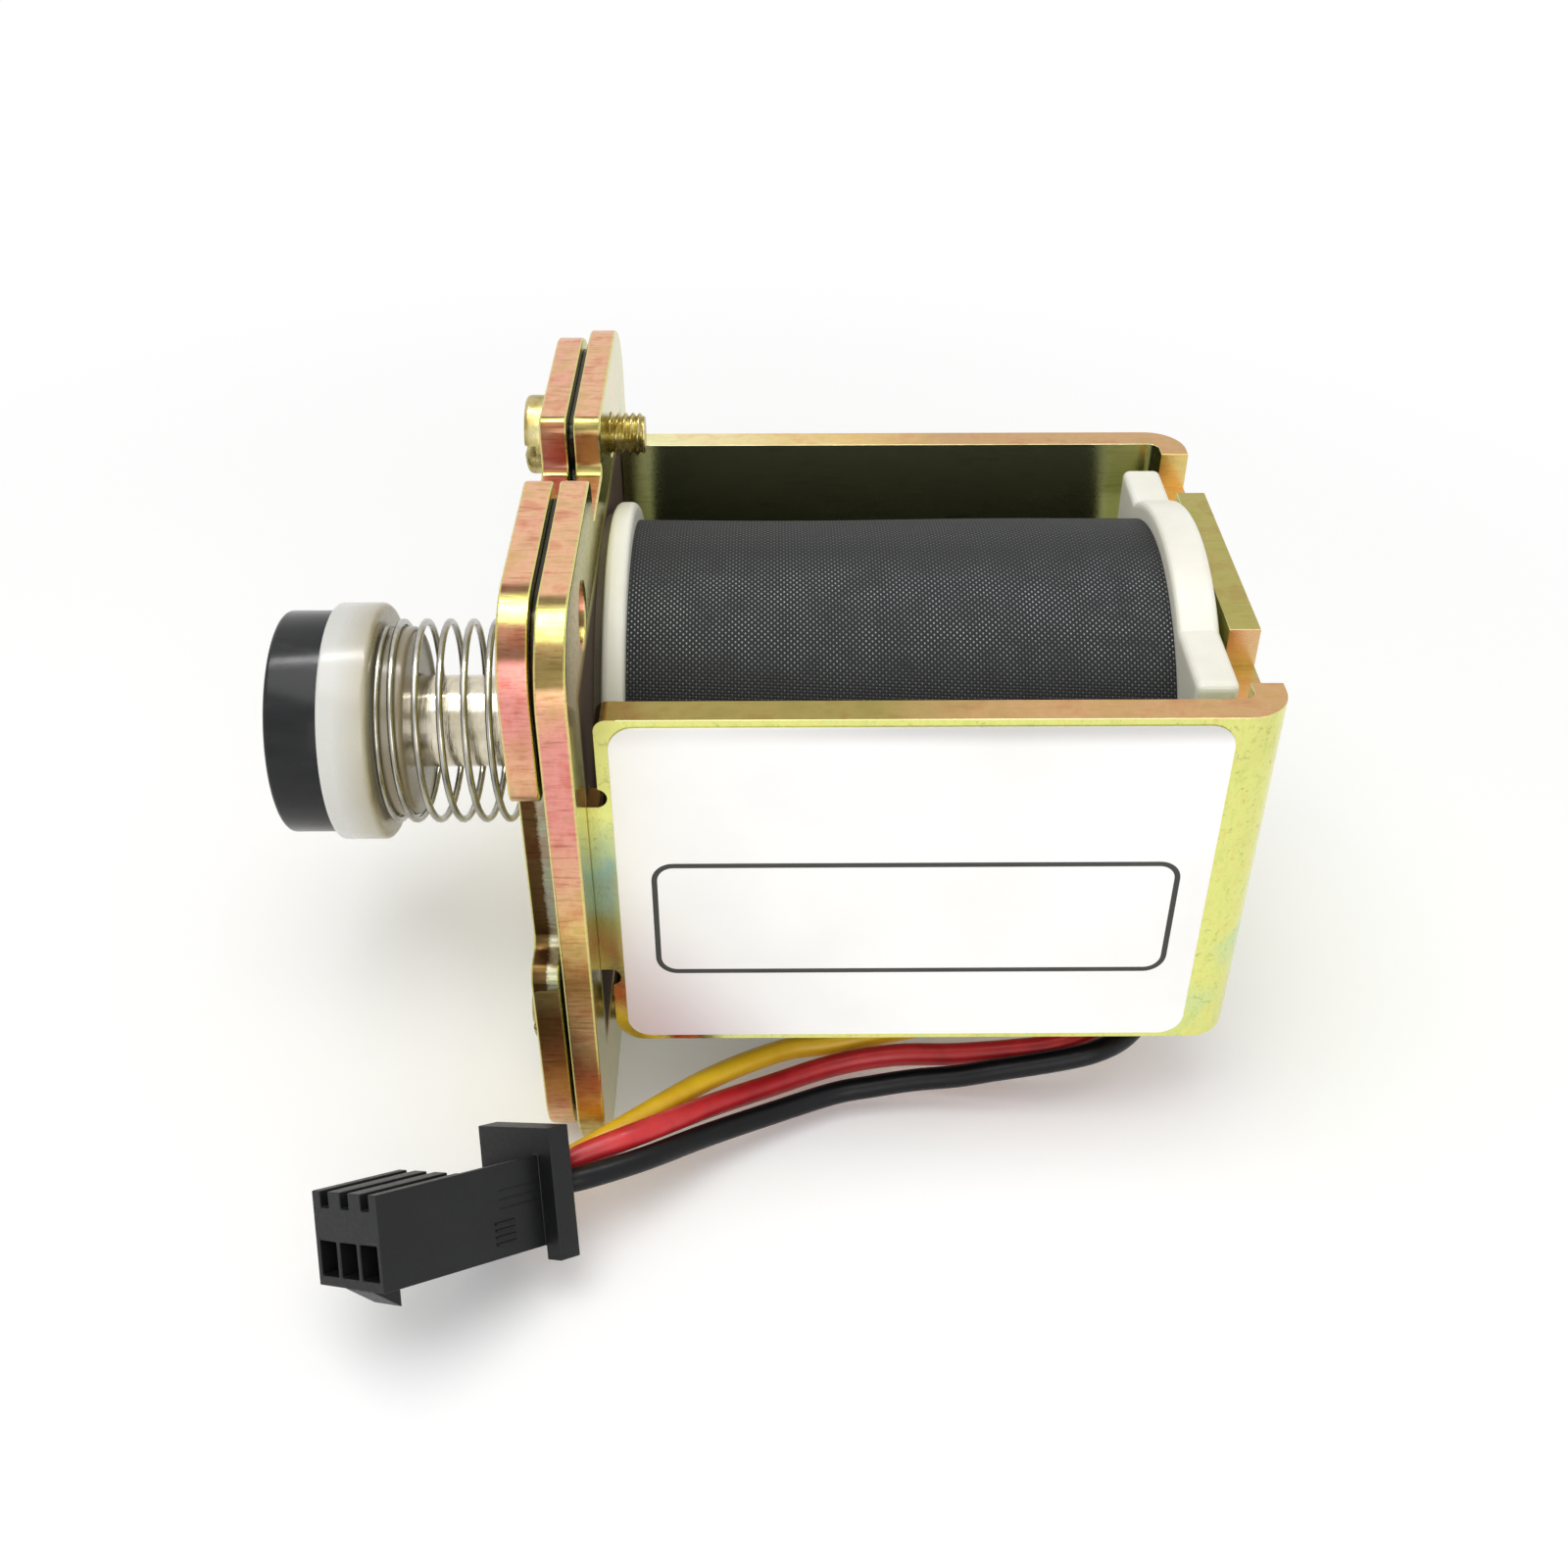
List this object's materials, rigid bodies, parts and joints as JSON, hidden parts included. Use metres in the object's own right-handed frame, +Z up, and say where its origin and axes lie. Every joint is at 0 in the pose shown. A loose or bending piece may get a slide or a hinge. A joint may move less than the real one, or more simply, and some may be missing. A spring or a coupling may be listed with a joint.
{
  "type": "gas safety solenoid valve",
  "caption": "Spring-closed gas shut-off solenoid: a rubber-faced plunger on a two-plate flange, with a taped coil in a plated steel yoke and coloured leads to a small plug.",
  "frame": {"origin": "on the plunger's axis, on the outer face of the outer flange plate", "axes": "+X along the plunger, from the sealing disc to the far end of the coil; +Z up; the label faces -Y"},
  "size_m": [0.0664, 0.0635, 0.043],
  "materials": {
    "plated_steel": "yellow chromated zinc plate, satin",
    "gasket_rubber": "matt black sheet",
    "screw_steel": "yellow chromated zinc plate",
    "label_film": "white printed film, satin",
    "bobbin_nylon": "cream moulded nylon",
    "washer_fibre": "pressed fibre",
    "copper_wire": "enamelled copper wire",
    "winding_film": "amber film",
    "coil_tape": "woven black tape",
    "sleeve_brass": "drawn brass tube",
    "ring_rubber": "moulded rubber",
    "core_steel": "turned soft iron",
    "shim_brass": "brass foil",
    "plunger_nickel": "nickel plated soft iron",
    "spring_steel": "bright spring steel wire",
    "cap_plastic": "translucent white moulding",
    "seal_rubber": "moulded black rubber",
    "pin_brass": "tinned brass",
    "yellow_pvc": "extruded PVC",
    "red_pvc": "extruded PVC",
    "black_pvc": "extruded PVC",
    "plug_plastic": "moulded black nylon",
    "contact_brass": "tinned brass strip"
  },
  "bodies": {
    "valve_body": {"outer_plate": "plated_steel", "plate_gasket": "gasket_rubber", "inner_plate": "plated_steel", "plate_screws": "screw_steel", "yoke": "plated_steel", "label": "label_film", "bobbin": "bobbin_nylon", "coil_washer": "washer_fibre", "pull_in_winding": "copper_wire", "winding_film": "winding_film", "hold_winding": "copper_wire", "coil_tape": "coil_tape", "guide_sleeve": "sleeve_brass", "sleeve_ring": "ring_rubber", "fixed_core": "core_steel", "core_shim": "shim_brass", "return_spring": "spring_steel", "terminal_pins": "pin_brass", "lead_yellow": "yellow_pvc", "lead_red": "red_pvc", "lead_black": "black_pvc", "plug_housing": "plug_plastic", "plug_contacts": "contact_brass"},
    "plunger": {"plunger": "plunger_nickel", "seal_cap": "cap_plastic", "seal_disc": "seal_rubber"}
  },
  "joints": [
    {"name": "plunger_slide", "type": "slide", "parent": "valve_body", "child": "plunger", "axis": [1, 0, 0], "range_m": [0, 0.0045], "stiffness_N_per_m": 28, "springref_m": -0.017, "deforming": ["return_spring"]}
  ]
}
